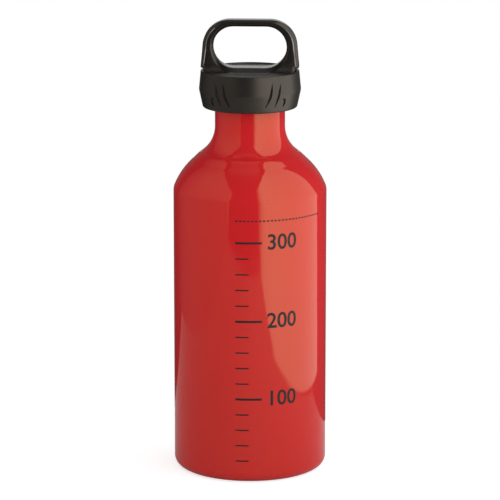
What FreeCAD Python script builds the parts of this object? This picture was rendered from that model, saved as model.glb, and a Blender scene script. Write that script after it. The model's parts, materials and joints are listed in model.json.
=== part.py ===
import FreeCAD, Part
import math
import os

# A camping fuel bottle with a push-and-turn cap. Millimetres, +Z up, origin at
# the middle of the foot, the carry loop along X, the front towards -Y.

# Driving dimensions of the aluminium shell
body_radius = 32.0
body_wall = 1.0
barrel_height = 118.5
base_thickness = 1.6
base_dome_rise = 4.0
foot_corner_radius = 4.0
foot_land_width = 3.5
shoulder_corner_angle = 22.5
shoulder_corner_radius = 5.7
shoulder_angle = 48.6
shoulder_crown_radius = 29.6
shoulder_root_radius = 13.2
neck_radius = 14.6
neck_wall = 2.4
neck_length = 13.0
rim_edge = 0.35

# Driving dimensions of the screw thread and its plug
thread_pitch = 3.0
thread_depth = 1.0
thread_root_width = 1.9
thread_crest_width = 1.0
thread_clearance = 0.4
neck_thread_length = 7.0
neck_thread_drop = 3.6
plug_thread_length = 6.0
plug_length = 12.0
plug_wall = 3.0
plug_floor = 2.0
plug_tip_chamfer = 1.0
vent_slot_width = 3.0
flange_overhang = 3.0
flange_thickness = 2.2
flange_gap = 0.5

# Driving dimensions of the seal
seal_wire_radius = 1.0
seal_groove_depth = 0.4
seal_clearance = 0.1

# Driving dimensions of the push-and-turn clutch, its spring and washer
tooth_count = 12
tooth_height = 2.2
tooth_width = 4.0
tooth_arc = 13.0
tooth_margin = 0.9
clutch_gap = 0.5
washer_thickness = 0.8
washer_band = 3.55
washer_clearance = 0.25
spring_wire_radius = 0.5
spring_turns = 5
spring_clearance = 0.35
spring_seat_gap = 0.05
spring_boss_height = 1.5

# Driving dimensions of the grip skirt
flange_clearance = 0.6
ledge_width = 1.1
rim_wall = 1.15
skirt_height = 15.4
skirt_bulge = 0.75
skirt_tuck = 0.85
crease_drop = 8.0
skirt_edge = 0.8
skirt_foot_wall = 2.2
lip_thickness = 1.6
lip_gap = 0.15
lip_clearance = 0.6
groove_depth = 0.7
groove_width = 1.3
groove_length = 11.4
groove_slant = 16.0
groove_drop = 2.2
hook_length = 4.0
hook_drop = 9.4
groove_turns = (24.6, 36.8)
hook_turn = 46.0

# Driving dimensions of the crown and the carry loop
crown_thickness = 2.45
crown_clearance = 0.1
dish_depth = 0.45
loop_bar_rise = 1.65
loop_opening_height = 17.1
loop_top_thickness = 2.75
loop_leg_thickness = 4.4
loop_half_depth = 3.2
loop_flare_radius = 7.5
loop_flare_angle = 62.0
loop_corner_radius = 11.3
loop_side_lean = 5.0
loop_edge = 0.9
loop_edge_share = 0.4
rib_gap = 0.9
rib_proud = 0.15

# How far a swept or stacked piece reaches into the body that it is fused with
overlap = 0.3

# Levels and radii that follow from the driving dimensions
corner_turn = math.radians(shoulder_corner_angle)
shoulder_turn = math.radians(shoulder_angle)
cone_run = body_radius - neck_radius \
    - shoulder_corner_radius * (1 - math.cos(corner_turn)) \
    - shoulder_crown_radius * (math.cos(corner_turn) - math.cos(shoulder_turn)) \
    - shoulder_root_radius * (1 - math.cos(shoulder_turn))
neck_root_level = barrel_height + cone_run / math.tan(shoulder_turn) \
    + shoulder_corner_radius * math.sin(corner_turn) \
    + shoulder_crown_radius * (math.sin(shoulder_turn) - math.sin(corner_turn)) \
    + shoulder_root_radius * math.sin(shoulder_turn)
rim_level = neck_root_level + neck_length
bore_radius = neck_radius - neck_wall
land_inner_radius = body_radius - foot_corner_radius - foot_land_width

plug_core_radius = bore_radius - thread_depth - thread_clearance
plug_tip_level = rim_level - plug_length
well_radius = plug_core_radius - plug_wall
well_floor_level = plug_tip_level + plug_floor
flange_radius = neck_radius + flange_overhang
flange_level = rim_level + flange_gap
flange_top_level = flange_level + flange_thickness
tooth_top_level = flange_top_level + tooth_height
tooth_outer_radius = flange_radius - tooth_margin
tooth_inner_radius = tooth_outer_radius - tooth_width
tooth_pitch = 360.0 / tooth_count

seal_groove_radius = plug_core_radius - seal_groove_depth
seal_ring_radius = seal_groove_radius + seal_clearance + seal_wire_radius
seal_level = flange_level - seal_clearance - seal_wire_radius

lug_tip_level = tooth_top_level + clutch_gap
crown_level = lug_tip_level + tooth_height
crown_top_level = crown_level + crown_thickness
chamber_radius = flange_radius + flange_clearance
seat_radius = chamber_radius + ledge_width
crown_radius = seat_radius - crown_clearance
skirt_top_radius = seat_radius + rim_wall
skirt_crease_radius = skirt_top_radius + skirt_bulge
skirt_foot_radius = skirt_top_radius - skirt_tuck
skirt_top_level = crown_top_level + dish_depth
skirt_crease_level = skirt_top_level - crease_drop
skirt_foot_level = skirt_top_level - skirt_height
lip_top_level = flange_level - lip_gap
lip_radius = neck_radius + lip_clearance

washer_level = well_floor_level + spring_seat_gap
washer_radius = well_radius - washer_clearance
spring_level = washer_level + washer_thickness + spring_seat_gap
spring_length = crown_level - spring_seat_gap - spring_level
spring_radius = washer_radius - spring_clearance - spring_wire_radius
spring_boss_radius = spring_radius - spring_wire_radius - spring_clearance

loop_bar_level = crown_top_level + loop_bar_rise
loop_opening_top = loop_bar_level + loop_opening_height
loop_top_level = loop_opening_top + loop_top_thickness
loop_flare_level = crown_top_level + loop_flare_radius * math.sin(math.radians(loop_flare_angle))
rib_level = skirt_top_level + rib_gap
neck_thread_level = rim_level - neck_thread_drop - neck_thread_length

axis = FreeCAD.Vector(0, 0, 1)
origin = FreeCAD.Vector(0, 0, 0)


def at(across, up):
    """A point of the XZ plane, where every turned outline is drawn."""
    return FreeCAD.Vector(across, 0, up)


def on_circle(centre, radius, degrees):
    """The point of a circle of the XZ plane at an angle from +X."""
    turn = math.radians(degrees)
    return at(centre.x + radius * math.cos(turn), centre.z + radius * math.sin(turn))


def outline(start, *steps):
    """A closed face. A step is the end of a line, or the middle and the end of an arc."""
    edges = []
    here = start
    for step in steps:
        if isinstance(step, tuple):
            edges.append(Part.Arc(here, step[0], step[1]).toShape())
            here = step[1]
        else:
            edges.append(Part.LineSegment(here, step).toShape())
            here = step
    if here != start:
        edges.append(Part.LineSegment(here, start).toShape())
    return Part.Face(Part.Wire(edges))


def turned(face):
    """The solid of a face spun round the bottle's axis."""
    return face.revolve(origin, axis, 360)


def ring(inner, outer, low, high):
    """A plain ring between two radii and two levels."""
    return turned(outline(at(inner, low), at(outer, low), at(outer, high), at(inner, high)))


def disc(radius, low, high):
    """A plain disc."""
    return Part.makeCylinder(radius, high - low, FreeCAD.Vector(0, 0, low))


def sector(inner, outer, low, high, middle, width):
    """A piece of a ring, width degrees wide about the angle middle."""
    face = outline(at(inner, low), at(outer, low), at(outer, high), at(inner, high))
    face.rotate(origin, axis, middle - width / 2)
    return face.revolve(origin, axis, width)


def thread_ridge(root_radius, crest_radius, low, length):
    """One helical ridge of the screw thread, sunk a little into the wall that it stands on."""
    flank_lean = (thread_root_width - thread_crest_width) / 2 / thread_depth
    sunk_radius = root_radius + math.copysign(overlap, root_radius - crest_radius)
    sunk_half = thread_root_width / 2 + overlap * flank_lean
    crest_half = thread_crest_width / 2
    corners = [at(sunk_radius, low - sunk_half), at(crest_radius, low - crest_half),
               at(crest_radius, low + crest_half), at(sunk_radius, low + sunk_half)]
    section = Part.Wire(Part.makePolygon(corners + corners[:1]))
    path = Part.makeHelix(thread_pitch, length, root_radius)
    path.translate(FreeCAD.Vector(0, 0, low))
    return Part.Wire(path).makePipeShell([section], True, True)


def shell_outline():
    """Half section of the shell: domed base, barrel, shoulder, and thick neck."""
    bend_centre = at(body_radius - shoulder_corner_radius, barrel_height)
    crown_centre = on_circle(bend_centre, shoulder_corner_radius - shoulder_crown_radius,
                             shoulder_corner_angle)
    root_centre = at(neck_radius + shoulder_root_radius, neck_root_level)
    corner_centre = at(body_radius - foot_corner_radius, foot_corner_radius)
    inner_corner = foot_corner_radius - body_wall
    inner_centre = at(body_radius - foot_corner_radius, base_thickness + inner_corner)
    dome_radius = (land_inner_radius ** 2 + base_dome_rise ** 2) / (2 * base_dome_rise)
    dome_centre = at(0, base_dome_rise - dome_radius)
    floor_centre = dome_centre + at(0, base_thickness)
    dome_half = 90 - math.degrees(math.asin(land_inner_radius / dome_radius)) / 2
    bend_half = shoulder_corner_angle / 2
    crown_half = (shoulder_corner_angle + shoulder_angle) / 2
    root_half = 180 + shoulder_angle / 2
    inner_bend = shoulder_corner_radius - body_wall
    inner_crown = shoulder_crown_radius - body_wall
    inner_root = shoulder_root_radius + body_wall
    seat_run = (seal_wire_radius + seal_clearance) * math.sqrt(2)
    seat_offset = seal_ring_radius - seal_level + seat_run
    throat_radius = neck_radius - body_wall
    return outline(
        at(0, base_dome_rise),
        (on_circle(dome_centre, dome_radius, dome_half), at(land_inner_radius, 0)),
        at(body_radius - foot_corner_radius, 0),
        (on_circle(corner_centre, foot_corner_radius, -45), at(body_radius, foot_corner_radius)),
        at(body_radius, barrel_height),
        (on_circle(bend_centre, shoulder_corner_radius, bend_half),
         on_circle(bend_centre, shoulder_corner_radius, shoulder_corner_angle)),
        (on_circle(crown_centre, shoulder_crown_radius, crown_half),
         on_circle(crown_centre, shoulder_crown_radius, shoulder_angle)),
        on_circle(root_centre, shoulder_root_radius, 180 + shoulder_angle),
        (on_circle(root_centre, shoulder_root_radius, root_half), at(neck_radius, neck_root_level)),
        at(neck_radius, rim_level - rim_edge),
        at(neck_radius - rim_edge, rim_level),
        at(rim_level + seat_offset, rim_level),
        at(bore_radius, bore_radius - seat_offset),
        at(bore_radius, neck_root_level + throat_radius - bore_radius),
        at(throat_radius, neck_root_level),
        (on_circle(root_centre, inner_root, root_half),
         on_circle(root_centre, inner_root, 180 + shoulder_angle)),
        on_circle(crown_centre, inner_crown, shoulder_angle),
        (on_circle(crown_centre, inner_crown, crown_half),
         on_circle(crown_centre, inner_crown, shoulder_corner_angle)),
        (on_circle(bend_centre, inner_bend, bend_half), at(body_radius - body_wall, barrel_height)),
        at(body_radius - body_wall, base_thickness + inner_corner),
        (on_circle(inner_centre, inner_corner, -45),
         at(body_radius - foot_corner_radius, base_thickness)),
        at(land_inner_radius, base_thickness),
        (on_circle(floor_centre, dome_radius, dome_half), at(0, base_dome_rise + base_thickness)))


def bottle_shell():
    """The drawn shell with the ridge of its inside thread."""
    ridge = thread_ridge(bore_radius, bore_radius - thread_depth, neck_thread_level, neck_thread_length)
    return turned(shell_outline()).fuse(ridge)


def screw_plug():
    """The threaded plug: a hollow shank, a vented thread, a flange and clutch teeth."""
    body = turned(outline(
        at(0, plug_tip_level),
        at(plug_core_radius - plug_tip_chamfer, plug_tip_level),
        at(plug_core_radius, plug_tip_level + plug_tip_chamfer),
        at(plug_core_radius, seal_level - seal_wire_radius),
        at(seal_groove_radius, seal_level - seal_wire_radius),
        at(seal_groove_radius, flange_level),
        at(flange_radius, flange_level),
        at(flange_radius, flange_top_level),
        at(well_radius, flange_top_level),
        at(well_radius, well_floor_level),
        at(0, well_floor_level)))
    ridge = thread_ridge(plug_core_radius, plug_core_radius + thread_depth,
                         neck_thread_level + thread_pitch / 2, plug_thread_length)
    slot = Part.makeBox(4 * bore_radius, vent_slot_width, plug_length)
    slot.translate(FreeCAD.Vector(-2 * bore_radius, -vent_slot_width / 2, plug_tip_level))
    ridge = ridge.cut(slot.cut(disc(plug_core_radius, plug_tip_level, rim_level)))
    teeth = [sector(tooth_inner_radius, tooth_outer_radius, flange_top_level - overlap,
                    tooth_top_level, tooth * tooth_pitch, tooth_arc)
             for tooth in range(tooth_count)]
    return body.fuse([ridge] + teeth)


def seal_ring():
    """The rubber ring between the flange and the flared mouth of the neck."""
    return Part.makeTorus(seal_ring_radius, seal_wire_radius, FreeCAD.Vector(0, 0, seal_level))


def thrust_washer():
    """The slip washer on the floor of the plug's well."""
    return ring(washer_radius - washer_band, washer_radius,
                washer_level, washer_level + washer_thickness)


def spring_point(turns):
    """A point on the middle line of the spring."""
    angle = 2 * math.pi * turns
    rise = (spring_length - 2 * spring_wire_radius) * turns / spring_turns
    return FreeCAD.Vector(spring_radius * math.cos(angle), spring_radius * math.sin(angle),
                          spring_level + spring_wire_radius + rise)


def return_spring():
    """The coil that holds the clutch apart, on arcs of a quarter turn."""
    quarters = 4 * spring_turns
    edges = []
    for quarter in range(quarters):
        start, middle, end = [spring_point((quarter + part) / 4) for part in (0, 0.5, 1)]
        edges.append(Part.Arc(start, middle, end).toShape())
    heading = edges[0].tangentAt(edges[0].FirstParameter)
    section = Part.Wire(Part.makeCircle(spring_wire_radius, spring_point(0), heading))
    return Part.Wire(edges).makePipeShell([section], True, False)


def skirt_band(depth):
    """A turned band that holds everything nearer than depth to the skirt's outside."""
    far = skirt_crease_radius + skirt_bulge + skirt_tuck
    return turned(outline(
        at(skirt_foot_radius - depth, skirt_foot_level),
        at(far, skirt_foot_level),
        at(far, skirt_top_level),
        at(skirt_top_radius - depth, skirt_top_level),
        at(skirt_crease_radius - depth, skirt_crease_level)))


def leaf_cutter(turn, top_level, length, slant):
    """A leaf-shaped bar that points outwards at an angle from the front, leaning by slant."""
    half = length / 2
    tip = at(0, half)
    tail = at(0, -half)
    right = at(groove_width / 2, 0)
    left = at(-groove_width / 2, 0)
    leaf = outline(tip, (right, tail), (left, tip))
    bar = leaf.extrude(FreeCAD.Vector(0, -2 * skirt_crease_radius, 0))
    bar.rotate(origin, FreeCAD.Vector(0, 1, 0), slant)
    bar.translate(FreeCAD.Vector(0, 0, top_level - half))
    bar.rotate(origin, axis, turn)
    return bar


def grip_grooves():
    """Slanted leaf grooves in a fan each side of the front, and the same at the back."""
    bars = []
    for face in (0, 180):
        for side in (-1, 1):
            lean = groove_slant * side
            for turn in groove_turns:
                bars.append(leaf_cutter(face + side * turn, skirt_top_level - groove_drop,
                                        groove_length, lean))
            bars.append(leaf_cutter(face + side * hook_turn, skirt_top_level - hook_drop,
                                    hook_length, lean))
    band = skirt_band(groove_depth)
    return [bar.common(band) for bar in bars]


def grip_skirt():
    """The outer ring that the hand turns, with the lip that holds the plug's flange."""
    lip_level = lip_top_level - lip_thickness
    foot_inner_radius = skirt_foot_radius - skirt_foot_wall
    body = turned(outline(
        at(foot_inner_radius, skirt_foot_level),
        at(skirt_foot_radius - skirt_edge, skirt_foot_level),
        at(skirt_foot_radius, skirt_foot_level + skirt_edge),
        at(skirt_crease_radius, skirt_crease_level),
        at(skirt_top_radius, skirt_top_level),
        at(seat_radius, skirt_top_level),
        at(seat_radius, crown_level),
        at(chamber_radius, crown_level),
        at(chamber_radius, lip_top_level),
        at(lip_radius, lip_top_level),
        at(lip_radius, lip_level),
        at(foot_inner_radius, lip_level)))
    return body.cut(grip_grooves())


def loop_outline():
    """The loop seen from the front: leaning sides, round corners, and a stadium opening."""
    lean = math.tan(math.radians(loop_side_lean))
    corner_level = loop_top_level - loop_corner_radius
    side_level = corner_level + loop_corner_radius * math.sin(math.radians(loop_side_lean))
    side_half = skirt_top_radius - (side_level - rib_level) * lean
    corner_across = side_half - loop_corner_radius * math.cos(math.radians(loop_side_lean))
    corner = at(corner_across, corner_level)
    middle_turn = (90 + loop_side_lean) / 2
    foot_half = skirt_top_radius + (rib_level - crown_level) * lean
    right_mid = on_circle(corner, loop_corner_radius, middle_turn)
    right_side = on_circle(corner, loop_corner_radius, loop_side_lean)
    left_mid = at(-right_mid.x, right_mid.z)
    left_side = at(-right_side.x, right_side.z)
    outer = outline(
        at(-foot_half, crown_level), at(foot_half, crown_level), right_side,
        (right_mid, at(corner_across, loop_top_level)),
        at(-corner_across, loop_top_level), (left_mid, left_side))
    end_radius = loop_opening_height / 2
    opening_level = loop_bar_level + end_radius
    opening_half = skirt_top_radius - (opening_level - rib_level) * lean - loop_leg_thickness
    straight = opening_half - end_radius
    opening = outline(
        at(-straight, loop_bar_level), at(straight, loop_bar_level),
        (at(opening_half, opening_level), at(straight, loop_opening_top)),
        at(-straight, loop_opening_top),
        (at(-opening_half, opening_level), at(-straight, loop_bar_level)))
    return outer.cut(opening)


def loop_side_outline():
    """The loop seen from the side: an even strap that flares towards its foot."""
    centre = at(loop_half_depth + loop_flare_radius, loop_flare_level)
    middle = on_circle(centre, loop_flare_radius, 180 + loop_flare_angle / 2)
    foot = on_circle(centre, loop_flare_radius, 180 + loop_flare_angle)
    face = outline(
        at(foot.x, crown_level), foot, (middle, at(loop_half_depth, loop_flare_level)),
        at(loop_half_depth, loop_top_level), at(-loop_half_depth, loop_top_level),
        at(-loop_half_depth, loop_flare_level), (at(-middle.x, middle.z), at(-foot.x, foot.z)),
        at(-foot.x, crown_level))
    face.rotate(origin, axis, 90)
    return face


def is_loop_edge(edge):
    """Whether an edge runs round the front or the back face of the loop."""
    box = edge.BoundBox
    one_face = box.YMin * box.YMax > 0
    above_crown = box.ZMax > crown_top_level + overlap
    where_flare_starts = box.ZLength < overlap and abs(box.ZMin - loop_flare_level) < overlap
    return one_face and above_crown and not where_flare_starts


def loop_strap():
    """The loop without its crown: the front outline cut to the side outline, edges rounded."""
    depth = 2 * skirt_crease_radius
    front = loop_outline()
    front.translate(FreeCAD.Vector(0, -depth, 0))
    side = loop_side_outline()
    side.translate(FreeCAD.Vector(-depth, 0, 0))
    strap = front.extrude(FreeCAD.Vector(0, 2 * depth, 0))
    strap = strap.common(side.extrude(FreeCAD.Vector(2 * depth, 0, 0)))
    solid = strap.Solids[0]
    edges = [edge for edge in solid.Edges if is_loop_edge(edge)]
    rounded = solid.makeFillet(min(loop_edge, loop_top_thickness * loop_edge_share), edges)
    proud_radius = skirt_top_radius + rib_proud
    return rounded.common(turned(outline(
        at(0, crown_level), at(crown_radius, crown_level), at(crown_radius, rib_level),
        at(proud_radius, rib_level), at(proud_radius, loop_top_level), at(0, loop_top_level))))


def carry_loop():
    """The carry loop with the crown that closes the skirt, its clutch lugs and spring boss."""
    crown = disc(crown_radius, crown_level, crown_top_level)
    boss = disc(spring_boss_radius, crown_level - spring_boss_height, crown_level + overlap)
    lugs = [sector(tooth_inner_radius, tooth_outer_radius, lug_tip_level, crown_level + overlap,
                   (lug + 0.5) * tooth_pitch, tooth_arc)
            for lug in range(tooth_count)]
    return crown.fuse([loop_strap(), boss] + lugs)


def write(name, shape):
    """Saves one piece as its own solid."""
    whole = shape.removeSplitter()
    solids = whole.Solids
    print(name, len(solids), "solid", "valid" if whole.isValid() else "NOT VALID",
          round(whole.Volume, 1), "mm3")
    solids[0].exportStep(os.path.join("parts", name + ".step"))


def spring_gap():
    """The least gap between neighbouring turns of the spring, measured on points."""
    steps = 24
    line = [spring_point(step / steps) for step in range(steps * spring_turns + 1)]
    apart = [first.distanceToPoint(second)
             for place, first in enumerate(line)
             for second in line[place + steps // 2:]]
    return min(apart) - 2 * spring_wire_radius


os.makedirs("parts", exist_ok=True)
write("bottle_shell", bottle_shell())
write("screw_plug", screw_plug())
write("seal_ring", seal_ring())
write("thrust_washer", thrust_washer())
write("return_spring", return_spring())
write("grip_skirt", grip_skirt())
write("carry_loop", carry_loop())
print("least gap between the turns of the spring", round(spring_gap(), 2), "mm")
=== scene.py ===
import bpy
import json
import math
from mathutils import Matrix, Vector


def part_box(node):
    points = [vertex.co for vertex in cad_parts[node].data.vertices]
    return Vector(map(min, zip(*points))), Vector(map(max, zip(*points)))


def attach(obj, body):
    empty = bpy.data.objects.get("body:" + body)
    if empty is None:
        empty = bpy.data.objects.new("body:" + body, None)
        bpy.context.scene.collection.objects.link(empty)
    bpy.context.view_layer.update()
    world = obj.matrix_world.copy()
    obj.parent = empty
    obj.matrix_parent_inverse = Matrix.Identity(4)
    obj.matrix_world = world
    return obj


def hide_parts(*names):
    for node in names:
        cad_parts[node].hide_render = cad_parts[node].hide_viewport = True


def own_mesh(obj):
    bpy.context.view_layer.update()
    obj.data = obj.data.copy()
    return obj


# A red camping fuel bottle with a black push-and-turn cap. Metres, +Z up, the front towards -Y.
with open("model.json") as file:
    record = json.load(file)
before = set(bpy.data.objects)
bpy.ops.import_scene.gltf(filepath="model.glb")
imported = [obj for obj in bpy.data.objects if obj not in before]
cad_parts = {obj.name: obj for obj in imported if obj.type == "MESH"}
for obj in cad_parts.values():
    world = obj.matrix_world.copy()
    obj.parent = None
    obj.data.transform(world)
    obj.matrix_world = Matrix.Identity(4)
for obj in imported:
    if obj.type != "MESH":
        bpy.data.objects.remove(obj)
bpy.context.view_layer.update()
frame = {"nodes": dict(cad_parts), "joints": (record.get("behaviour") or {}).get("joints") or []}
mm = 0.001

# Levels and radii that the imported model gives
_, shell_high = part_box("bottle_shell")
skirt_low, skirt_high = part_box("grip_skirt")
loop_low, loop_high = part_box("carry_loop")
spring_low, spring_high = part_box("return_spring")
rim_level = shell_high.z
skirt_foot_level = skirt_low.z
skirt_top_level = skirt_high.z
lug_tip_level = loop_low.z
loop_top_level = loop_high.z

# The shell's own sizes
body_radius = 32 * mm
barrel_height = 118.5 * mm
base_thickness = 1.6 * mm
base_dome_rise = 4 * mm
foot_corner_radius = 4 * mm
foot_land_width = 3.5 * mm
body_wall = 1 * mm
shoulder_corner_angle = 22.5
shoulder_corner_radius = 5.7 * mm
shoulder_angle = 48.6
shoulder_crown_radius = 29.6 * mm
shoulder_root_radius = 13.2 * mm
ring_step = 0.4 * mm
ring_share = 0.74
ring_spread = 0.18
neck_radius = 14.6 * mm
neck_length = 13 * mm
bore_radius = 12.2 * mm
mouth_radius = 13.65 * mm
rim_edge = 0.35 * mm
neck_root_level = rim_level - neck_length
shell_steps = 192

# The inside thread of the neck
thread_pitch = 3 * mm
thread_depth = 1 * mm
thread_root_half = 0.95 * mm
thread_crest_half = 0.5 * mm
thread_sunk = 0.3 * mm
thread_turns = 7 / 3
thread_level = rim_level - 10.6 * mm

# The cap's skirt
crease_radius = 21.2 * mm
skirt_top_radius = 20.45 * mm
skirt_foot_radius = 19.6 * mm
crease_level = skirt_top_level - 8 * mm
crease_rounding = 4 * mm
skirt_edge = 0.8 * mm
skirt_rim_edge = 0.55 * mm
seat_radius = 19.3 * mm
chamber_radius = 18.2 * mm
lip_radius = 15.2 * mm
lip_thickness = 1.6 * mm
skirt_foot_wall = 2.2 * mm
lip_top_level = rim_level + 0.35 * mm
skirt_steps = 240

# Its leaf grooves: turn from the front, drop from the top, length, width, slant and bow of each in a fan
grooves = ((24.6, 2.2 * mm, 11.6 * mm, 1.15 * mm, 16.5, 0.75 * mm),
           (36.8, 2.8 * mm, 10.8 * mm, 1.35 * mm, 15, 0),
           (46.0, 9.4 * mm, 4.0 * mm, 1.1 * mm, 12, 0.25 * mm),
           (45.4, 9.2 * mm, 1.8 * mm, 0.95 * mm, -48, 0))
groove_depth = 0.85 * mm

# The cap's crown and carry loop
tooth_height = 2.2 * mm
tooth_count = 12
tooth_arc = 13
tooth_inner_radius = 12.7 * mm
tooth_outer_radius = 16.7 * mm
lug_overlap = 0.3 * mm
boss_radius = 5.85 * mm
boss_height = 1.5 * mm
crown_level = lug_tip_level + tooth_height
crown_thickness = 2.45 * mm
crown_radius = 19.2 * mm
dish_level = crown_level + crown_thickness
loop_bar_level = dish_level + 1.65 * mm
rib_level = skirt_top_level + 0.9 * mm
rib_rise = 0.45 * mm
rib_radius = skirt_top_radius + 0.15 * mm
loop_lean = math.radians(5)
loop_leg_width = 4.4 * mm
loop_half_depth = 3.2 * mm
opening_radius = 8.55 * mm
opening_level = loop_bar_level + opening_radius
opening_straight = (skirt_top_radius - (opening_level - rib_level) * math.tan(loop_lean)
                    - loop_leg_width - opening_radius)
loop_corner_radius = 11.3 * mm
loop_corner_level = loop_top_level - loop_corner_radius
loop_side_level = loop_corner_level + loop_corner_radius * math.sin(loop_lean)
loop_side_radius = skirt_top_radius - (loop_side_level - rib_level) * math.tan(loop_lean)
loop_corner_across = loop_side_radius - loop_corner_radius * math.cos(loop_lean)
loop_flare_radius = 7.5 * mm
loop_flare_level = dish_level + loop_flare_radius * math.sin(math.radians(62))
loop_bevel = 1 * mm
loop_bevel_share = 0.3
loop_bar_bevel = 1.7 * mm
loop_bevel_run = 5 * mm
loop_outer_bevel = 1.5 * mm
loop_outer_share = 0.34
loop_softness = 0.13
loop_root_radius = crown_radius - 0.15 * mm
loop_root_level = crown_level + 0.6 * mm

# The painted highlight line on the loop's legs: strips of the section between its outer bevels and its sides
highlight_strips = (5, 6, 25, 26)
highlight_low = rib_level + 1.2 * mm
highlight_high = loop_top_level - 3.5 * mm

# The spring under the crown
spring_wire = 0.5 * mm
spring_turns = 6
spring_end_turns = 0.75
spring_end_pitch = 2.1 * spring_wire

# The print on the barrel: the fill line and a plain volume scale
print_lift = 0.03 * mm
print_slice = 0.6 * mm
print_start = -7.9
fill_level = 111.5 * mm
dash_count = 25
dash_pitch = 1.63 * mm
dash_size = (0.95 * mm, 0.62 * mm)
scale_foot = 3 * mm
rise_for_100_ml = 33.1 * mm
long_tick = (11 * mm, 0.9 * mm)
short_tick = (5.5 * mm, 0.55 * mm)
number_size = 9 * mm
number_weight = 0.12 * mm
number_gap = 13 * mm

# The darkest and lightest black of the cap's plastic, and of the dull top of its crown
cap_dark = (0.007, 0.0064, 0.0055, 1)
cap_light = (0.0105, 0.0096, 0.0083, 1)
dish_dark = (0.007, 0.0065, 0.006, 1)
dish_light = (0.0105, 0.0098, 0.009, 1)

# How bright the surroundings are, with white as 1
table_glow = 0.66
room_left = 0.87
room_right = 1.68
room_front = 0.95
room_back = 0.35
room_gleam = 0.02
left_gleam = 0.03
right_gleam = 0.13
backdrop_gleam = 1

# The backdrop in reflections: a fan that widens with height, with a faint halo round it
fan_foot = -0.183
fan_slope = 0.8
fan_limit = 0.2
fan_edge = 0.03
fan_turn = (0.3, 0.1)
fan_top = (0.75, 0.1)
halo_edge = (-0.3, 0.2)
halo_share = 0.1

# Corners of the table and the panels in millimetres, with the camera straight in front
table_corners = [(-290, -430, -0.02), (150, -430, -0.02), (-290, 170, -0.02), (150, 30, -0.02)]
right_corners = [(104, -560, 1), (163, 75, 1), (104, -560, 650), (156, 0, 615)]
left_corners = [(-290, -481, 1), (-254, 210, 1), (-290, -481, 570), (-256, 170, 640)]
top_corners = [(-280, -500, 800), (130, -500, 800), (-280, 40, 800), (130, 40, 800)]
side_white = (1.0, 0.97, 0.92, 1)
top_white = (1.0, 0.98, 0.95, 1)

# The view of the photograph
camera_azimuth = 3.0
camera_elevation = 12.5
camera_distance = 1300 * mm
camera_aim = Vector((0, 0, 92.475 * mm))
camera_focal_pixels = 3095
image_pixels = 500
sensor_width = 36


class Value:
    """A shader socket that takes part in arithmetic: each step adds a Math node."""

    def __init__(self, finish, socket):
        self.finish = finish
        self.socket = socket

    def step(self, operation, *values):
        return self.finish.add("Math", {"operation": operation}, dict(enumerate(values)))

    def __add__(self, other):
        return self.step("ADD", self, other)

    def __sub__(self, other):
        return self.step("SUBTRACT", self, other)

    def __rsub__(self, other):
        return self.step("SUBTRACT", other, self)

    def __mul__(self, other):
        return self.step("MULTIPLY", self, other)

    def __truediv__(self, other):
        return self.step("DIVIDE", self, other)

    def __pow__(self, other):
        return self.step("POWER", self, other)

    def at_least(self, other):
        return self.step("MAXIMUM", self, other)

    def at_most(self, other):
        return self.step("MINIMUM", self, other)

    def over(self, edge, softness):
        """Rises smoothly from 0 to 1 about an edge."""
        return self.finish.add("MapRange", {"interpolation_type": "SMOOTHSTEP"},
                               {"Value": self, "From Min": edge - softness, "From Max": edge + softness})

    __radd__ = __add__
    __rmul__ = __mul__


class Finish:
    """A material or the world: one method adds any node, and the rest are short for common ones."""

    def __init__(self, owner):
        owner.use_nodes = True
        self.owner = owner
        self.tree = owner.node_tree
        self.tree.nodes.clear()

    def add(self, kind, settings=None, sockets=None, output=0):
        """A node of a kind. Its settings are set first, then its sockets' values or links."""
        node = self.tree.nodes.new("ShaderNode" + kind)
        for name, setting in (settings or {}).items():
            setattr(node, name, setting)
        for name, value in (sockets or {}).items():
            if isinstance(value, Value):
                self.tree.links.new(value.socket, node.inputs[name])
            else:
                node.inputs[name].default_value = value
        return Value(self, node.outputs[output]) if node.outputs else None

    def place(self):
        """Where a point is on the object, in metres."""
        return self.add("TexCoord", output="Object")

    def parts(self, vector):
        """The three numbers of a vector."""
        return [self.add("SeparateXYZ", sockets={"Vector": vector}, output=axis) for axis in "XYZ"]

    def noise(self, vector, scale, detail=2.0):
        """Soft noise from 0 to 1, with so many features to the metre."""
        return self.add("TexNoise", sockets={"Vector": vector, "Scale": scale, "Detail": detail})

    def mix(self, share, first, second):
        """One colour where share is 0 and another where it is 1."""
        return self.add("Mix", {"data_type": "RGBA"}, {0: share, 6: first, 7: second}, output=2)

    def bump(self, height, distance, normal=None):
        """A normal that follows a height from 0 to 1, of so many metres."""
        sockets = {"Height": height, "Distance": distance}
        if normal:
            sockets["Normal"] = normal
        return self.add("Bump", sockets=sockets)

    def surface(self, **sockets):
        """The finished surface, from the sockets of the main shader."""
        named = {name.replace("_", " "): value for name, value in sockets.items()}
        shader = self.add("BsdfPrincipled", sockets=named)
        self.add("OutputMaterial", sockets={"Surface": shader})
        return self.owner


def new_finish(name):
    return Finish(bpy.data.materials.new(name))


def enamel_finish():
    """Glossy red baked enamel: a faint drift of colour, orange peel and a slow ripple in the gloss."""
    f = new_finish("red_enamel")
    where = f.place()
    drift = f.noise(where, 38)
    colour = f.mix(drift, (0.525, 0.0142, 0.0178, 1), (0.555, 0.0152, 0.0190, 1))
    peel = f.noise(where, 700, 1)
    ripple = f.noise(where, 42, 1)
    haze = f.noise(where, 160)
    normal = f.bump(ripple, 0.16 * mm)
    normal = f.bump(peel, 0.0016 * mm, normal)
    return f.surface(Base_Color=colour, Roughness=0.05 + haze * 0.04, Normal=normal,
                     Specular_Tint=(1.0, 0.95, 0.54, 1))


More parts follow.
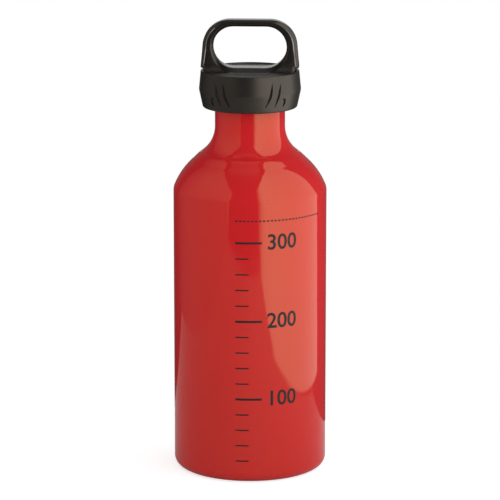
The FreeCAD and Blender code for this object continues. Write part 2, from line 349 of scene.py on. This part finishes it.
def bare_metal_finish():
    """Turned aluminium: fine rings round the axis."""
    f = new_finish("bare_aluminium")
    where = f.place()
    _, _, up = f.parts(where)
    rings = f.noise(f.add("CombineXYZ", sockets={"Z": up * 9}), 900)
    cloud = f.noise(where, 220)
    colour = f.mix(cloud, (0.70, 0.70, 0.69, 1), (0.80, 0.80, 0.79, 1))
    return f.surface(Base_Color=colour, Metallic=1.0, Roughness=0.26 + rings * 0.16,
                     Normal=f.bump(rings, 0.004 * mm))


def moulded_finish(name, dark, light, roughness):
    """Moulded plastic: a fine eroded grain and a little cloudiness."""
    f = new_finish(name)
    where = f.place()
    grain = f.noise(where, 2600, 1)
    cloud = f.noise(where, 110)
    colour = f.mix(cloud, dark, light)
    return f.surface(Base_Color=colour, Roughness=roughness + cloud * 0.08 + grain * 0.05,
                     Normal=f.bump(grain, 0.012 * mm), Specular_Tint=(1.0, 0.88, 0.77, 1))


def edge_finish():
    """The same plastic with a painted highlight: pale along an edge, more in some places than in others."""
    f = new_finish("cap_edge_highlight")
    where = f.place()
    # painted highlight: a pale colour along the legs' edges, patchy by noise
    highlight_patches = f.noise(where, 160, 3).over(0.5, 0.18)
    colour = f.mix(highlight_patches, (0.05, 0.049, 0.047, 1), (0.34, 0.333, 0.322, 1))
    return f.surface(Base_Color=colour, Roughness=0.34 + highlight_patches * 0.1)


def rubber_finish():
    """Black sealing rubber with a dusty bloom."""
    f = new_finish("seal_rubber")
    where = f.place()
    bloom = f.noise(where, 420, 4)
    colour = f.mix(bloom, (0.012, 0.012, 0.012, 1), (0.03, 0.03, 0.029, 1))
    return f.surface(Base_Color=colour, Roughness=0.55 + bloom * 0.2,
                     Normal=f.bump(bloom, 0.01 * mm))


def wire_finish():
    """Drawn steel wire."""
    f = new_finish("spring_steel")
    where = f.place()
    drawn = f.noise(where, 1500, 3)
    colour = f.mix(drawn, (0.50, 0.50, 0.49, 1), (0.62, 0.61, 0.60, 1))
    return f.surface(Base_Color=colour, Metallic=1.0, Roughness=0.22 + drawn * 0.15)


def ink_finish():
    """Black screen-printed ink, a little thin in places."""
    f = new_finish("print_ink")
    where = f.place()
    thin = f.noise(where, 900, 3)
    colour = f.mix(thin, (0.010, 0.009, 0.009, 1), (0.020, 0.017, 0.017, 1))
    return f.surface(Base_Color=colour, Roughness=0.42 + thin * 0.12, Specular_IOR_Level=0.2)


def bend(centre, radius, start, end, steps):
    """Points of an outline along a round stretch, from one angle to another."""
    turns = [math.radians(start + (end - start) * step / steps) for step in range(steps + 1)]
    return [Vector((centre[0] + radius * math.cos(turn), 0, centre[1] + radius * math.sin(turn)))
            for turn in turns]


def straight(start, end, shares):
    """Points of an outline along a straight stretch, at shares of its length."""
    first, last = Vector((start[0], 0, start[1])), Vector((end[0], 0, end[1]))
    return [first.lerp(last, share) for share in shares]


def corner(before, at, after, radius, steps=4):
    """Points of an outline round a corner, eased to a radius."""
    place = Vector((at[0], 0, at[1]))
    towards = (Vector((before[0], 0, before[1])) - place).normalized()
    away = (Vector((after[0], 0, after[1])) - place).normalized()
    half = towards.angle(away) / 2
    reach = radius / math.tan(half)
    start, end = place + towards * reach, place + away * reach
    middle = place + (towards + away).normalized() * (radius / math.sin(half))
    first, last = start - middle, end - middle
    whole = first.angle(last)
    points = []
    for step in range(steps + 1):
        share = step / steps
        spread = (first * math.sin((1 - share) * whole) + last * math.sin(share * whole))
        points.append(middle + spread / math.sin(whole))
    return points


def select_only(*pieces):
    bpy.ops.object.select_all(action="DESELECT")
    for piece in pieces:
        piece.select_set(True)
    bpy.context.view_layer.objects.active = pieces[0]


def new_plane(name, size=1):
    bpy.ops.object.select_all(action="DESELECT")
    bpy.ops.mesh.primitive_plane_add(size=size)
    plane = bpy.context.object
    plane.name = name
    plane.data.name = name
    return plane


def start_at(name, point):
    """A new piece in edit mode with one vertex, from which an outline is drawn."""
    piece = new_plane(name, mm)
    bpy.ops.object.mode_set(mode="EDIT")
    bpy.ops.mesh.select_mode(type="VERT")
    bpy.ops.mesh.select_all(action="SELECT")
    bpy.ops.mesh.merge(type="CENTER")
    bpy.ops.transform.translate(value=point)
    return piece


def draw(points):
    """Extrudes the last vertex along an outline."""
    for here, there in zip(points, points[1:]):
        if (there - here).length > 1e-7:
            bpy.ops.mesh.extrude_region_move(TRANSFORM_OT_translate={"value": there - here})


def turned(name, points, steps, close=True):
    """A piece turned round the axis from its half section."""
    piece = start_at(name, points[0])
    draw(points + points[:1] if close else points)
    bpy.ops.mesh.select_all(action="SELECT")
    bpy.ops.mesh.remove_doubles(threshold=1e-7)
    bpy.ops.mesh.spin(steps=steps, angle=math.tau, center=(0, 0, 0), axis=(0, 0, 1))
    bpy.ops.mesh.select_all(action="SELECT")
    bpy.ops.mesh.remove_doubles(threshold=1e-6)
    bpy.ops.mesh.normals_make_consistent(inside=False)
    bpy.ops.object.mode_set(mode="OBJECT")
    return piece


def face_outwards(piece, open_end=0):
    """Turns all faces outwards, and first closes open ends of so many sides."""
    select_only(piece)
    bpy.ops.object.mode_set(mode="EDIT")
    bpy.ops.mesh.select_all(action="SELECT")
    if open_end:
        bpy.ops.mesh.fill_holes(sides=open_end)
    bpy.ops.mesh.normals_make_consistent(inside=False)
    bpy.ops.object.mode_set(mode="OBJECT")


def apply_modifier(piece, kind, **settings):
    """Adds a modifier to a piece and applies it."""
    select_only(piece)
    bpy.ops.object.modifier_add(type=kind)
    modifier = piece.modifiers[-1]
    for name, setting in settings.items():
        setattr(modifier, name, setting)
    bpy.ops.object.modifier_apply(modifier=modifier.name)


def merge_in(piece, other, operation):
    """Adds another solid to a piece, or cuts it out, and removes the other."""
    apply_modifier(piece, "BOOLEAN", object=other, operation=operation, solver="MANIFOLD")
    bpy.data.objects.remove(other)


def joined(pieces):
    """One object from several."""
    select_only(*pieces)
    bpy.ops.object.join()
    return bpy.context.object


def smooth(piece, angle):
    select_only(piece)
    bpy.ops.object.shade_smooth_by_angle(angle=math.radians(angle))


def settle(piece, turn=(0, 0, 0), move=(0, 0, 0)):
    """Turns and moves a piece, and puts that into its mesh."""
    piece.rotation_euler = [math.radians(angle) for angle in turn]
    piece.location = move
    select_only(piece)
    bpy.ops.object.transform_apply(location=True, rotation=True, scale=True)


def copy_of(piece):
    select_only(piece)
    bpy.ops.object.duplicate()
    return bpy.context.object


def finish_piece(piece, body, slot, *finishes, replaces=()):
    """Gives a piece its finishes and its body, and hides the imported parts that it replaces."""
    if finishes:
        piece.data.materials.clear()
    for finish in finishes:
        piece.data.materials.append(finish)
    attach(piece, body)
    if replaces:
        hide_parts(*replaces)


def neck_thread():
    """The ridge of the inside thread, running out into the wall at both ends."""
    wall = bore_radius + thread_sunk
    crest = bore_radius - thread_depth
    section = [Vector((wall, 0, -thread_root_half)), Vector((crest, 0, -thread_crest_half)),
               Vector((crest, 0, thread_crest_half)), Vector((wall, 0, thread_root_half))]
    ridge = start_at("neck_thread", section[0])
    draw(section + section[:1])
    bpy.ops.mesh.select_all(action="SELECT")
    bpy.ops.mesh.remove_doubles(threshold=1e-7)
    bpy.ops.object.mode_set(mode="OBJECT")
    steps = 168
    apply_modifier(ridge, "SCREW", angle=thread_turns * math.tau, screw_offset=thread_turns * thread_pitch,
                   steps=steps, render_steps=steps, use_smooth_shade=True)
    run_out = 10
    for place, vertex in enumerate(ridge.data.vertices):
        ring = place // len(section)
        near_end = min(ring, steps - ring) / run_out
        if near_end < 1:
            flat = Vector((vertex.co.x, vertex.co.y, 0))
            sunk = flat.normalized() * wall
            eased = sunk.lerp(flat, near_end)
            vertex.co.x, vertex.co.y = eased.x, eased.y
    face_outwards(ridge, len(section))
    settle(ridge, move=(0, 0, thread_level))
    return ridge


def shoulder_ring(crown_centre, root_centre):
    """The cone between the shoulder's bends, with the faint step that forming leaves in it."""
    turn = math.radians(shoulder_angle)
    out = Vector((math.cos(turn), 0, math.sin(turn)))
    low = Vector((crown_centre[0], 0, crown_centre[1])) + out * shoulder_crown_radius
    high = Vector((root_centre[0], 0, root_centre[1])) - out * shoulder_root_radius
    points = []
    steps = 36
    for step in range(1, steps):
        share = step / steps
        climb = 0.5 + 0.5 * math.tanh((share - ring_share) / ring_spread)
        points.append(low.lerp(high, share) - out * (ring_step * (climb - share)))
    return points


def shell_points():
    """Half section of the shell, from the middle of its underside round to the middle of its floor."""
    land = body_radius - foot_corner_radius - foot_land_width
    dome_radius = (land ** 2 + base_dome_rise ** 2) / (2 * base_dome_rise)
    dome_half = math.degrees(math.asin(land / dome_radius))
    dome_centre = (0, base_dome_rise - dome_radius)
    floor_centre = (0, base_dome_rise - dome_radius + base_thickness)
    foot_centre = (body_radius - foot_corner_radius, foot_corner_radius)
    bend_centre = (body_radius - shoulder_corner_radius, barrel_height)
    turn = math.radians(shoulder_corner_angle)
    set_back = shoulder_corner_radius - shoulder_crown_radius
    crown_centre = (bend_centre[0] + set_back * math.cos(turn),
                    bend_centre[1] + set_back * math.sin(turn))
    root_centre = (neck_radius + shoulder_root_radius, neck_root_level)
    inner_corner = foot_corner_radius - body_wall
    inner_centre = (foot_centre[0], base_thickness + inner_corner)
    inner_radius = body_radius - body_wall
    throat = neck_radius - body_wall
    throat_level = neck_root_level + throat - bore_radius
    seat_drop = mouth_radius - bore_radius
    wall_shares = (0.005, 0.02, 0.06, 0.3, 0.6, 0.9, 0.98, 0.995)
    return (bend(dome_centre, dome_radius, 90, 90 - dome_half, 14)
            + straight((land, 0), (foot_centre[0], 0), (0.08, 0.92))
            + bend(foot_centre, foot_corner_radius, -90, 0, 18)
            + straight((body_radius, foot_corner_radius), (body_radius, barrel_height), wall_shares)
            + bend(bend_centre, shoulder_corner_radius, 0, shoulder_corner_angle, 10)
            + bend(crown_centre, shoulder_crown_radius, shoulder_corner_angle, shoulder_angle, 14)
            + shoulder_ring(crown_centre, root_centre)
            + bend(root_centre, shoulder_root_radius, 180 + shoulder_angle, 180, 16)
            + straight((neck_radius, neck_root_level), (neck_radius, rim_level - rim_edge),
                       (0.06, 0.5, 0.97))
            + bend((neck_radius - rim_edge, rim_level - rim_edge), rim_edge, 0, 90, 4)
            + straight((mouth_radius, rim_level), (bore_radius, rim_level - seat_drop), (0, 1))
            + straight((bore_radius, throat_level), (throat, neck_root_level), (0, 1))
            + bend(root_centre, shoulder_root_radius + body_wall, 180, 180 + shoulder_angle, 12)
            + bend(crown_centre, shoulder_crown_radius - body_wall, shoulder_angle, shoulder_corner_angle, 8)
            + bend(bend_centre, shoulder_corner_radius - body_wall, shoulder_corner_angle, 0, 6)
            + straight((inner_radius, barrel_height), (inner_radius, inner_centre[1]), (0.02, 0.98))
            + bend(inner_centre, inner_corner, 0, -90, 8)
            + bend(floor_centre, dome_radius, 90 - dome_half, 90, 10))


def bottle():
    """The painted shell with its bare inside and threaded neck."""
    shell = turned("bottle_body", shell_points(), shell_steps, close=False)
    shell = joined([shell, neck_thread()])
    smooth(shell, 32)
    finish_piece(shell, "bottle", "red_enamel", enamel_finish(), bare_metal_finish(),
                 replaces=["bottle_shell"])
    rim_middle = (neck_radius + mouth_radius) / 2
    for face in shell.data.polygons:
        out = math.hypot(face.center.x, face.center.y)
        inwards = face.normal.x * face.center.x + face.normal.y * face.center.y < 0
        on_rim = face.center.z > rim_level - rim_edge and out < rim_middle
        above_floor = face.center.z > base_dome_rise and face.normal.z > 0 and out < bore_radius
        over_corner = base_thickness / 2 < face.center.z < barrel_height / 2 and face.normal.z > 0.02
        inside = inwards and face.center.z > base_dome_rise
        face.material_index = int(inside or on_rim or above_floor or over_corner)


def wrap_print(piece, lift):
    """Lays flat print, drawn as across and up, round the barrel."""
    for vertex in piece.data.vertices:
        turn = vertex.co.x / body_radius
        out = body_radius + lift + vertex.co.z
        vertex.co = (out * math.sin(turn), -out * math.cos(turn), vertex.co.y)


def slice_print(piece, step):
    """Cuts flat print into narrow upright strips, so that it follows the barrel."""
    across = [vertex.co.x for vertex in piece.data.vertices]
    low, high = min(across), max(across)
    select_only(piece)
    bpy.ops.object.mode_set(mode="EDIT")
    for cut in range(1, math.ceil((high - low) / step)):
        bpy.ops.mesh.select_all(action="SELECT")
        bpy.ops.mesh.bisect(plane_co=(low + cut * step, 0, 0), plane_no=(1, 0, 0))
    bpy.ops.object.mode_set(mode="OBJECT")


def print_bar(name, across, up, width, height):
    """A flat printed bar whose lower left corner is at a place on the unrolled barrel."""
    bar = new_plane(name)
    bar.scale = (width, height, 1)
    settle(bar, move=(across + width / 2, up, 0))
    slice_print(bar, print_slice)
    return bar


def on_barrel(turn):
    """How far round the unrolled barrel a turn from the front is."""
    return math.radians(turn) * body_radius


def fill_line(ink):
    """The dotted line that marks how far the bottle is filled."""
    start = on_barrel(print_start)
    dashes = [print_bar("fill_line", start + dash * dash_pitch, fill_level, *dash_size)
              for dash in range(dash_count)]
    line = joined(dashes)
    line.name = "fill_line"
    wrap_print(line, print_lift)
    finish_piece(line, "bottle", None, ink)


def volume_level(millilitres):
    return scale_foot + millilitres / 100 * rise_for_100_ml


def volume_scale(ink):
    """Ticks for every 20 millilitres below the fill line, longer at each 100."""
    start = on_barrel(print_start)
    ticks = []
    for volume in range(20, 301, 20):
        size = long_tick if volume % 100 == 0 else short_tick
        ticks.append(print_bar("volume_scale", start, volume_level(volume), *size))
    scale = joined(ticks)
    scale.name = "volume_scale"
    wrap_print(scale, print_lift)
    finish_piece(scale, "bottle", None, ink)


def volume_numbers(ink):
    """The plain numbers of the scale."""
    figures = []
    for volume in (100, 200, 300):
        bpy.ops.object.select_all(action="DESELECT")
        bpy.ops.object.text_add()
        figure = bpy.context.object
        figure.data.body = str(volume)
        figure.data.size = number_size
        figure.data.offset = number_weight
        figure.data.align_y = "CENTER"
        bpy.ops.object.convert(target="MESH")
        settle(figure, move=(on_barrel(print_start) + number_gap, volume_level(volume), 0))
        slice_print(figure, print_slice)
        figures.append(figure)
    numbers = joined(figures)
    numbers.name = "volume_numbers"
    numbers.data.name = "volume_numbers"
    wrap_print(numbers, print_lift)
    finish_piece(numbers, "bottle", None, ink)


def leaf(length, width, bow):
    """A cutter for one groove: a long leaf of round section, pointed at both ends and bowed sideways."""
    half, swell = length / 2, width / 2
    sweep = (half ** 2 + swell ** 2) / (2 * swell)
    turn = math.degrees(math.asin(half / sweep))
    cutter = turned("leaf", bend((swell - sweep, 0), sweep, -turn, turn, 24), 16, close=False)
    for vertex in cutter.data.vertices:
        share = vertex.co.z / half
        vertex.co.x += bow * (1 - share ** 2)
        vertex.co.y *= groove_depth / swell
    return cutter


def skirt_radius(level):
    """The skirt's outer radius at a level."""
    if level > crease_level:
        share = (level - crease_level) / (skirt_top_level - crease_level)
        return crease_radius + share * (skirt_top_radius - crease_radius)
    share = (crease_level - level) / (crease_level - skirt_foot_level)
    return crease_radius + share * (skirt_foot_radius - crease_radius)


def grip_cutters():
    """Leaf grooves in a fan each side of the front and of the back, each fan ending in a short hook."""
    cutters = []
    for face in (0, 180):
        for side in (-1, 1):
            for turn, drop, length, width, slant, bow in grooves:
                middle = skirt_top_level - drop - length / 2
                cutter = leaf(length, width, side * bow)
                settle(cutter, turn=(0, side * slant, 0))
                for vertex in cutter.data.vertices:
                    vertex.co.z += middle
                    vertex.co.y -= skirt_radius(vertex.co.z)
                settle(cutter, turn=(0, 0, face + side * turn))
                cutters.append(cutter)
    return cutters


def grip_skirt(plastic):
    """The ring that the hand turns, with its leaf grooves and the lip that holds the plug."""
    foot_inner = skirt_foot_radius - skirt_foot_wall
    lip_level = lip_top_level - lip_thickness
    foot = (skirt_foot_radius, skirt_foot_level)
    crease = (crease_radius, crease_level)
    top = (skirt_top_radius, skirt_top_level)
    seat = (seat_radius, skirt_top_level)
    outside = (corner((foot_inner, skirt_foot_level), foot, crease, skirt_edge, 6)
               + straight(foot, crease, (0.3, 0.5, 0.7))
               + corner(foot, crease, top, crease_rounding, 6)
               + straight(crease, top, (0.3, 0.5, 0.7))
               + corner(crease, top, seat, skirt_rim_edge, 5)
               + corner(top, seat, (seat_radius, crown_level), skirt_rim_edge, 5))
    inside = [Vector((radius, 0, level)) for radius, level in (
        (seat_radius, crown_level), (chamber_radius, crown_level), (chamber_radius, lip_top_level),
        (lip_radius, lip_top_level), (lip_radius, lip_level), (foot_inner, lip_level))]
    foot_inner_edge = corner((foot_inner, lip_level), (foot_inner, skirt_foot_level), foot, skirt_rim_edge)
    skirt = turned("cap_skirt", outside + inside + foot_inner_edge, skirt_steps)
    for cutter in grip_cutters():
        merge_in(skirt, cutter, "DIFFERENCE")
    smooth(skirt, 28)
    finish_piece(skirt, "overcap", "cap_plastic", plastic, replaces=["grip_skirt"])


def strap_quarter(bevel):
    """A quarter of the strap's section, as distances in from its face and in from its side."""
    soft = loop_softness * bevel
    on_slope = 0.707 * soft
    half_in, half_back = 0.185 * soft, 0.077 * soft
    face_end = [(0, bevel + soft), (half_in, bevel + half_back), (on_slope, bevel - on_slope)]
    side_end = [(side, face) for face, side in reversed(face_end)]
    return face_end + side_end


def strap_depth(level):
    """Half the strap's depth at a level: even in the loop, and flaring into its feet."""
    below = min(max(loop_flare_level - level, 0), 0.995 * loop_flare_radius)
    return loop_half_depth + loop_flare_radius - math.sqrt(loop_flare_radius ** 2 - below ** 2)


def strap_stations():
    """Pairs of points across the strap, inner and outer, all the way round the opening."""
    tab = (skirt_top_radius - rib_rise * math.tan(loop_lean), rib_level + rib_rise)
    corner_centre = (loop_corner_across, loop_corner_level)
    root = (loop_root_radius, loop_root_level)
    outside = (bend(corner_centre, loop_corner_radius, 90, math.degrees(loop_lean), 20)
               + straight((loop_side_radius, loop_side_level), tab, (0.12, 0.3, 0.5, 0.7, 0.88, 1))
               + straight((loop_root_radius, rib_level), root, (0, 0.5, 1))
               + straight(root, (opening_straight, loop_root_level), (0.25, 0.5, 0.75)))
    middle = Vector((opening_straight, 0, opening_level))
    right = []
    for share in (0, 0.25, 0.5, 0.75, 1):
        across = share * opening_straight
        inner = Vector((across, 0, opening_level + opening_radius))
        right.append((inner, Vector((across, 0, loop_top_level))))
    for outer in outside:
        right.append((middle + (outer - middle).normalized() * opening_radius, outer))
    for share in (1, 0.75, 0.5, 0.25, 0):
        across = share * opening_straight
        right.append((Vector((across, 0, loop_bar_level)), Vector((across, 0, loop_root_level))))
    flip = Vector((-1, 1, 1))
    left = [(inner * flip, outer * flip) for inner, outer in right[-2:0:-1]]
    return right + left


def strap_ring(inner, outer):
    """The strap's section at one station: from the middle of the outer face round to it again."""
    thick = (outer - inner).length
    above_bar = min((inner.z - loop_bar_level) / loop_bevel_run, 1)
    inner_bevel = min(loop_bevel, loop_bevel_share * thick) * above_bar + loop_bar_bevel * (1 - above_bar)
    outer_bevel = min(loop_outer_bevel, loop_outer_share * thick)
    out_side = [(thick - face, side) for face, side in strap_quarter(outer_bevel)]
    in_side = [(face, side) for face, side in reversed(strap_quarter(inner_bevel))]
    half = [(thick, None, 0), (thick, outer_bevel, 0.5)]
    half += [(along, side, 1) for along, side in out_side]
    half += [(thick / 2, 0, 1)]
    half += [(along, side, 1) for along, side in in_side]
    half += [(0, inner_bevel, 0.5), (0, None, 0)]
    points = []
    for sign, part in ((1, half[:-1]), (-1, half[:0:-1])):
        for along, side, share in part:
            place = inner.lerp(outer, along / thick)
            depth = 0 if side is None else sign * share * (strap_depth(place.z) - side)
            limit = rib_radius if place.z > rib_level - 0.01 * mm else loop_root_radius
            reach = math.sqrt(max(limit ** 2 - depth ** 2, 0))
            points.append((max(-reach, min(reach, place.x)), depth, place.z))
    return points


def loop_strap():
    """The strap of the loop, swept round its opening."""
    rings = [strap_ring(inner, outer) for inner, outer in strap_stations()]
    bpy.ops.object.select_all(action="DESELECT")
    bpy.ops.mesh.primitive_torus_add(major_segments=len(rings), minor_segments=len(rings[0]),
                                     major_radius=20 * mm, minor_radius=3 * mm)
    strap = bpy.context.object
    for vertex, place in zip(strap.data.vertices, [point for ring in rings for point in ring]):
        vertex.co = place
    for place, face in enumerate(strap.data.polygons):
        # faces in these strips on the legs get the painted edge highlight
        on_leg = highlight_low < face.center.z < highlight_high
        face.material_index = int(on_leg and place % len(rings[0]) in highlight_strips)
    face_outwards(strap)
    return strap


def crown_disc():
    """The disc that closes the skirt, with the spring's boss under it."""
    boss_level = crown_level - boss_height
    edge = 0.3 * mm
    points = [Vector((radius, 0, level)) for radius, level in (
        (0, boss_level), (boss_radius - edge, boss_level), (boss_radius, boss_level + edge),
        (boss_radius, crown_level), (crown_radius, crown_level), (crown_radius, dish_level - edge),
        (crown_radius - edge, dish_level), (crown_radius - 3 * edge, dish_level), (0, dish_level))]
    return turned("crown", points, shell_steps, close=False)


def clutch_lug():
    """One lug under the crown that meets the plug's teeth when the cap is pressed."""
    bpy.ops.object.select_all(action="DESELECT")
    bpy.ops.mesh.primitive_cube_add(size=1)
    lug = bpy.context.object
    half = math.radians(tooth_arc / 2)
    for vertex in lug.data.vertices:
        radius = tooth_outer_radius if vertex.co.x > 0 else tooth_inner_radius
        side = half if vertex.co.y > 0 else -half
        level = crown_level + lug_overlap if vertex.co.z > 0 else lug_tip_level
        vertex.co = (radius * math.cos(side), radius * math.sin(side), level)
    return lug


def carry_loop(*finishes):
    """The carry loop, the crown it stands on, and the lugs under the crown."""
    cap, strap = crown_disc(), loop_strap()
    for piece in (cap, strap):
        for finish in finishes:
            piece.data.materials.append(finish)
    for face in cap.data.polygons:
        face.material_index = 2 * int(face.center.z > dish_level - 0.1 * mm)
    merge_in(cap, strap, "UNION")
    first = clutch_lug()
    for place in range(tooth_count):
        lug = copy_of(first)
        settle(lug, turn=(0, 0, (place + 0.5) * 360 / tooth_count))
        merge_in(cap, lug, "UNION")
    bpy.data.objects.remove(first)
    cap.name = "cap_loop"
    cap.data.name = "cap_loop"
    smooth(cap, 24)
    finish_piece(cap, "overcap", "cap_plastic", replaces=["carry_loop"])


def press_spring():
    """The spring under the crown: round wire, with its end turns drawn together."""
    sides = 14
    steps = 48 * spring_turns
    coil_radius = spring_high.x - spring_wire
    bpy.ops.object.select_all(action="DESELECT")
    bpy.ops.mesh.primitive_circle_add(vertices=sides, radius=spring_wire, rotation=(math.pi / 2, 0, 0))
    spring = bpy.context.object
    settle(spring, turn=(90, 0, 0), move=(coil_radius, 0, 0))
    apply_modifier(spring, "SCREW", angle=spring_turns * math.tau, screw_offset=0,
                   steps=steps, render_steps=steps)
    closed = spring_end_turns / spring_turns
    rise = spring_high.z - spring_low.z - 2 * spring_wire
    end_rise = spring_end_pitch * spring_end_turns
    for place, vertex in enumerate(spring.data.vertices):
        share = (place // sides) / steps
        if share < closed:
            lift = end_rise * share / closed
        elif share > 1 - closed:
            lift = rise - end_rise * (1 - share) / closed
        else:
            lift = end_rise + (rise - 2 * end_rise) * (share - closed) / (1 - 2 * closed)
        vertex.co.z += spring_low.z + spring_wire + lift
    face_outwards(spring, sides)
    spring.name = "cap_spring"
    spring.data.name = "cap_spring"
    smooth(spring, 40)
    finish_piece(spring, "spring_pack", "spring_steel", wire_finish(), replaces=["return_spring"])
    press = next(joint for joint in frame["joints"] if joint["name"] == "press")
    travel = max(abs(limit) for limit in press["range_m"])
    1 - travel / (spring_high.z - spring_low.z)
    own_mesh(spring)


def repaint(node, finish):
    """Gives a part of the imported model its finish."""
    materials = frame["nodes"][node].data.materials
    materials.clear()
    materials.append(finish)


def towards_camera(place):
    """A place given with the camera straight in front, turned to where the camera is."""
    turn = math.radians(camera_azimuth)
    x, y, z = place
    return Vector((x * math.cos(turn) - y * math.sin(turn), x * math.sin(turn) + y * math.cos(turn), z))


def board_between(name, corners):
    """A flat board between four corners."""
    board = new_plane(name)
    for vertex, place in zip(board.data.vertices, corners):
        vertex.co = towards_camera([size * mm for size in place])
    return board


def panel(name, corners, colour, shade):
    """A glowing panel that shows in reflections only. Shade is its brightness at shares along and up."""
    board = board_between(name, corners)
    f = new_finish(name)
    along, up, _ = f.parts(f.add("TexCoord", output="UV"))
    glow = f.add("Emission", sockets={"Color": colour, "Strength": shade(along, up)})
    f.add("OutputMaterial", sockets={"Surface": glow})
    board.data.materials.append(f.owner)
    board.visible_camera = False
    board.visible_diffuse = False
    board.visible_shadow = False


def right_shade(along, _):
    """Dark at its near end, brightest in the middle, and less bright at its far end."""
    bright = along.over(0.2, 0.22) * 2.7
    loss = along.over(0.85, 0.3) * 1.05
    return bright - loss


def left_shade(along, up):
    """Brighter towards its top and dim at its far end, with a bright strip at its near end."""
    by_height = 0.38 + up.over(0.3, 0.3) * 0.3
    by_length = 1 - along.over(0.83, 0.2) * 0.78
    strip = (1 - along.over(0.045, 0.012)) * 0.42
    return by_height * by_length + strip


def top_shade(along, up):
    """Bright at its far side, and less so to the left."""
    by_depth = 0.06 + up ** 3 * 0.95
    by_width = 0.45 + along.over(0.3, 0.3) * 0.55
    return by_depth * by_width


def lights():
    """A tall bright panel to the right, a dimmer one to the left, and a faint one overhead."""
    panel("panel_right", right_corners, side_white, right_shade)
    panel("panel_left", left_corners, side_white, left_shade)
    panel("panel_top", top_corners, top_white, top_shade)


def table_top():
    """The pale table: white to the camera, but for the shadow on it, with painted shade darkening it towards
    the left.
    """
    table = board_between("table_top", table_corners)
    f = new_finish("table_paper")
    across, _, _ = f.parts(f.place())
    # painted shade: the table's colour is darker to the left, where less light falls on it
    colour = f.mix(across.over(0, 120 * mm), (0.55, 0.55, 0.55, 1), (0.8, 0.8, 0.8, 1))
    paper = f.add("BsdfDiffuse", sockets={"Color": colour})
    seen = f.add("LightPath", output="Is Camera Ray")
    glow = f.add("Emission", sockets={"Color": (1, 1, 1, 1), "Strength": seen * table_glow})
    both = f.add("AddShader", sockets={0: paper, 1: glow})
    f.add("OutputMaterial", sockets={"Surface": both})
    table.data.materials.append(f.owner)


def studio():
    """A white backdrop behind the bottle, a dim room elsewhere, and even light from all round."""
    world = bpy.data.worlds.new("studio")
    bpy.context.scene.world = world
    f = Finish(world)
    across, along, up = f.parts(f.add("TexCoord", output="Generated"))
    turn = math.radians(camera_azimuth)
    level = ((across * across + along * along) ** 0.5).at_least(1e-4)
    behind = (along * math.cos(turn) - across * math.sin(turn)) / level
    sideways = across * math.cos(turn) + along * math.sin(turn)
    half_width = ((up - fan_foot) * fan_slope).at_most(fan_limit)
    inside = half_width - (sideways * sideways) ** 0.5 / level
    fade = inside.over(0, fan_edge) * (1 - halo_share) + inside.over(*halo_edge) * halo_share
    backdrop = fade * behind.over(*fan_turn) * (1 - up.over(*fan_top))
    shiny = f.add("LightPath", output="Is Glossy Ray")
    seen = f.add("LightPath", output="Is Camera Ray") + f.add("LightPath", output="Is Transmission Ray")
    to_left = (0 - sideways).at_least(0)
    to_right = sideways.at_least(0)
    reflected = room_gleam + to_left * left_gleam + to_right * right_gleam + backdrop * backdrop_gleam
    to_back = (behind * level).at_least(0)
    to_front = (0 - behind * level).at_least(0)
    around = to_left * room_left + to_right * room_right + to_front * room_front + to_back * room_back
    unseen = around + shiny * (reflected - around)
    strength = unseen + seen * (1 - unseen)
    light = f.add("Background", sockets={"Color": (1, 1, 1, 1), "Strength": strength})
    f.add("OutputWorld", sockets={"Surface": light})


def camera():
    """The photograph's view."""
    lens = bpy.data.cameras.new("view")
    lens.sensor_width = sensor_width
    lens.lens = camera_focal_pixels * sensor_width / image_pixels
    lens.clip_start, lens.clip_end = 0.01, 20
    eye = bpy.data.objects.new("view", lens)
    bpy.context.scene.collection.objects.link(eye)
    lift = math.radians(camera_elevation)
    back = towards_camera((0, -math.cos(lift), math.sin(lift)))
    eye.location = camera_aim + back * camera_distance
    eye.rotation_euler = back.to_track_quat("Z", "Y").to_euler()
    bpy.context.scene.camera = eye


black_plastic = moulded_finish("cap_plastic", cap_dark, cap_light, 0.2)
bottle()
ink = ink_finish()
fill_line(ink)
volume_scale(ink)
volume_numbers(ink)
skirt_plastic = moulded_finish("skirt_plastic", cap_dark, cap_light, 0.3)
grip_skirt(skirt_plastic)
dull_plastic = moulded_finish("dish_plastic", dish_dark, dish_light, 0.55)
carry_loop(black_plastic, edge_finish(), dull_plastic)
press_spring()
plug_plastic = moulded_finish("plug_plastic", (0.028, 0.027, 0.026, 1), (0.04, 0.038, 0.036, 1), 0.42)
repaint("screw_plug", plug_plastic)
washer_plastic = moulded_finish("washer_plastic", (0.68, 0.67, 0.62, 1), (0.76, 0.75, 0.71, 1), 0.35)
repaint("thrust_washer", washer_plastic)
repaint("seal_ring", rubber_finish())
table_top()
studio()
lights()
camera()
bpy.context.scene.view_settings.view_transform = "Standard"
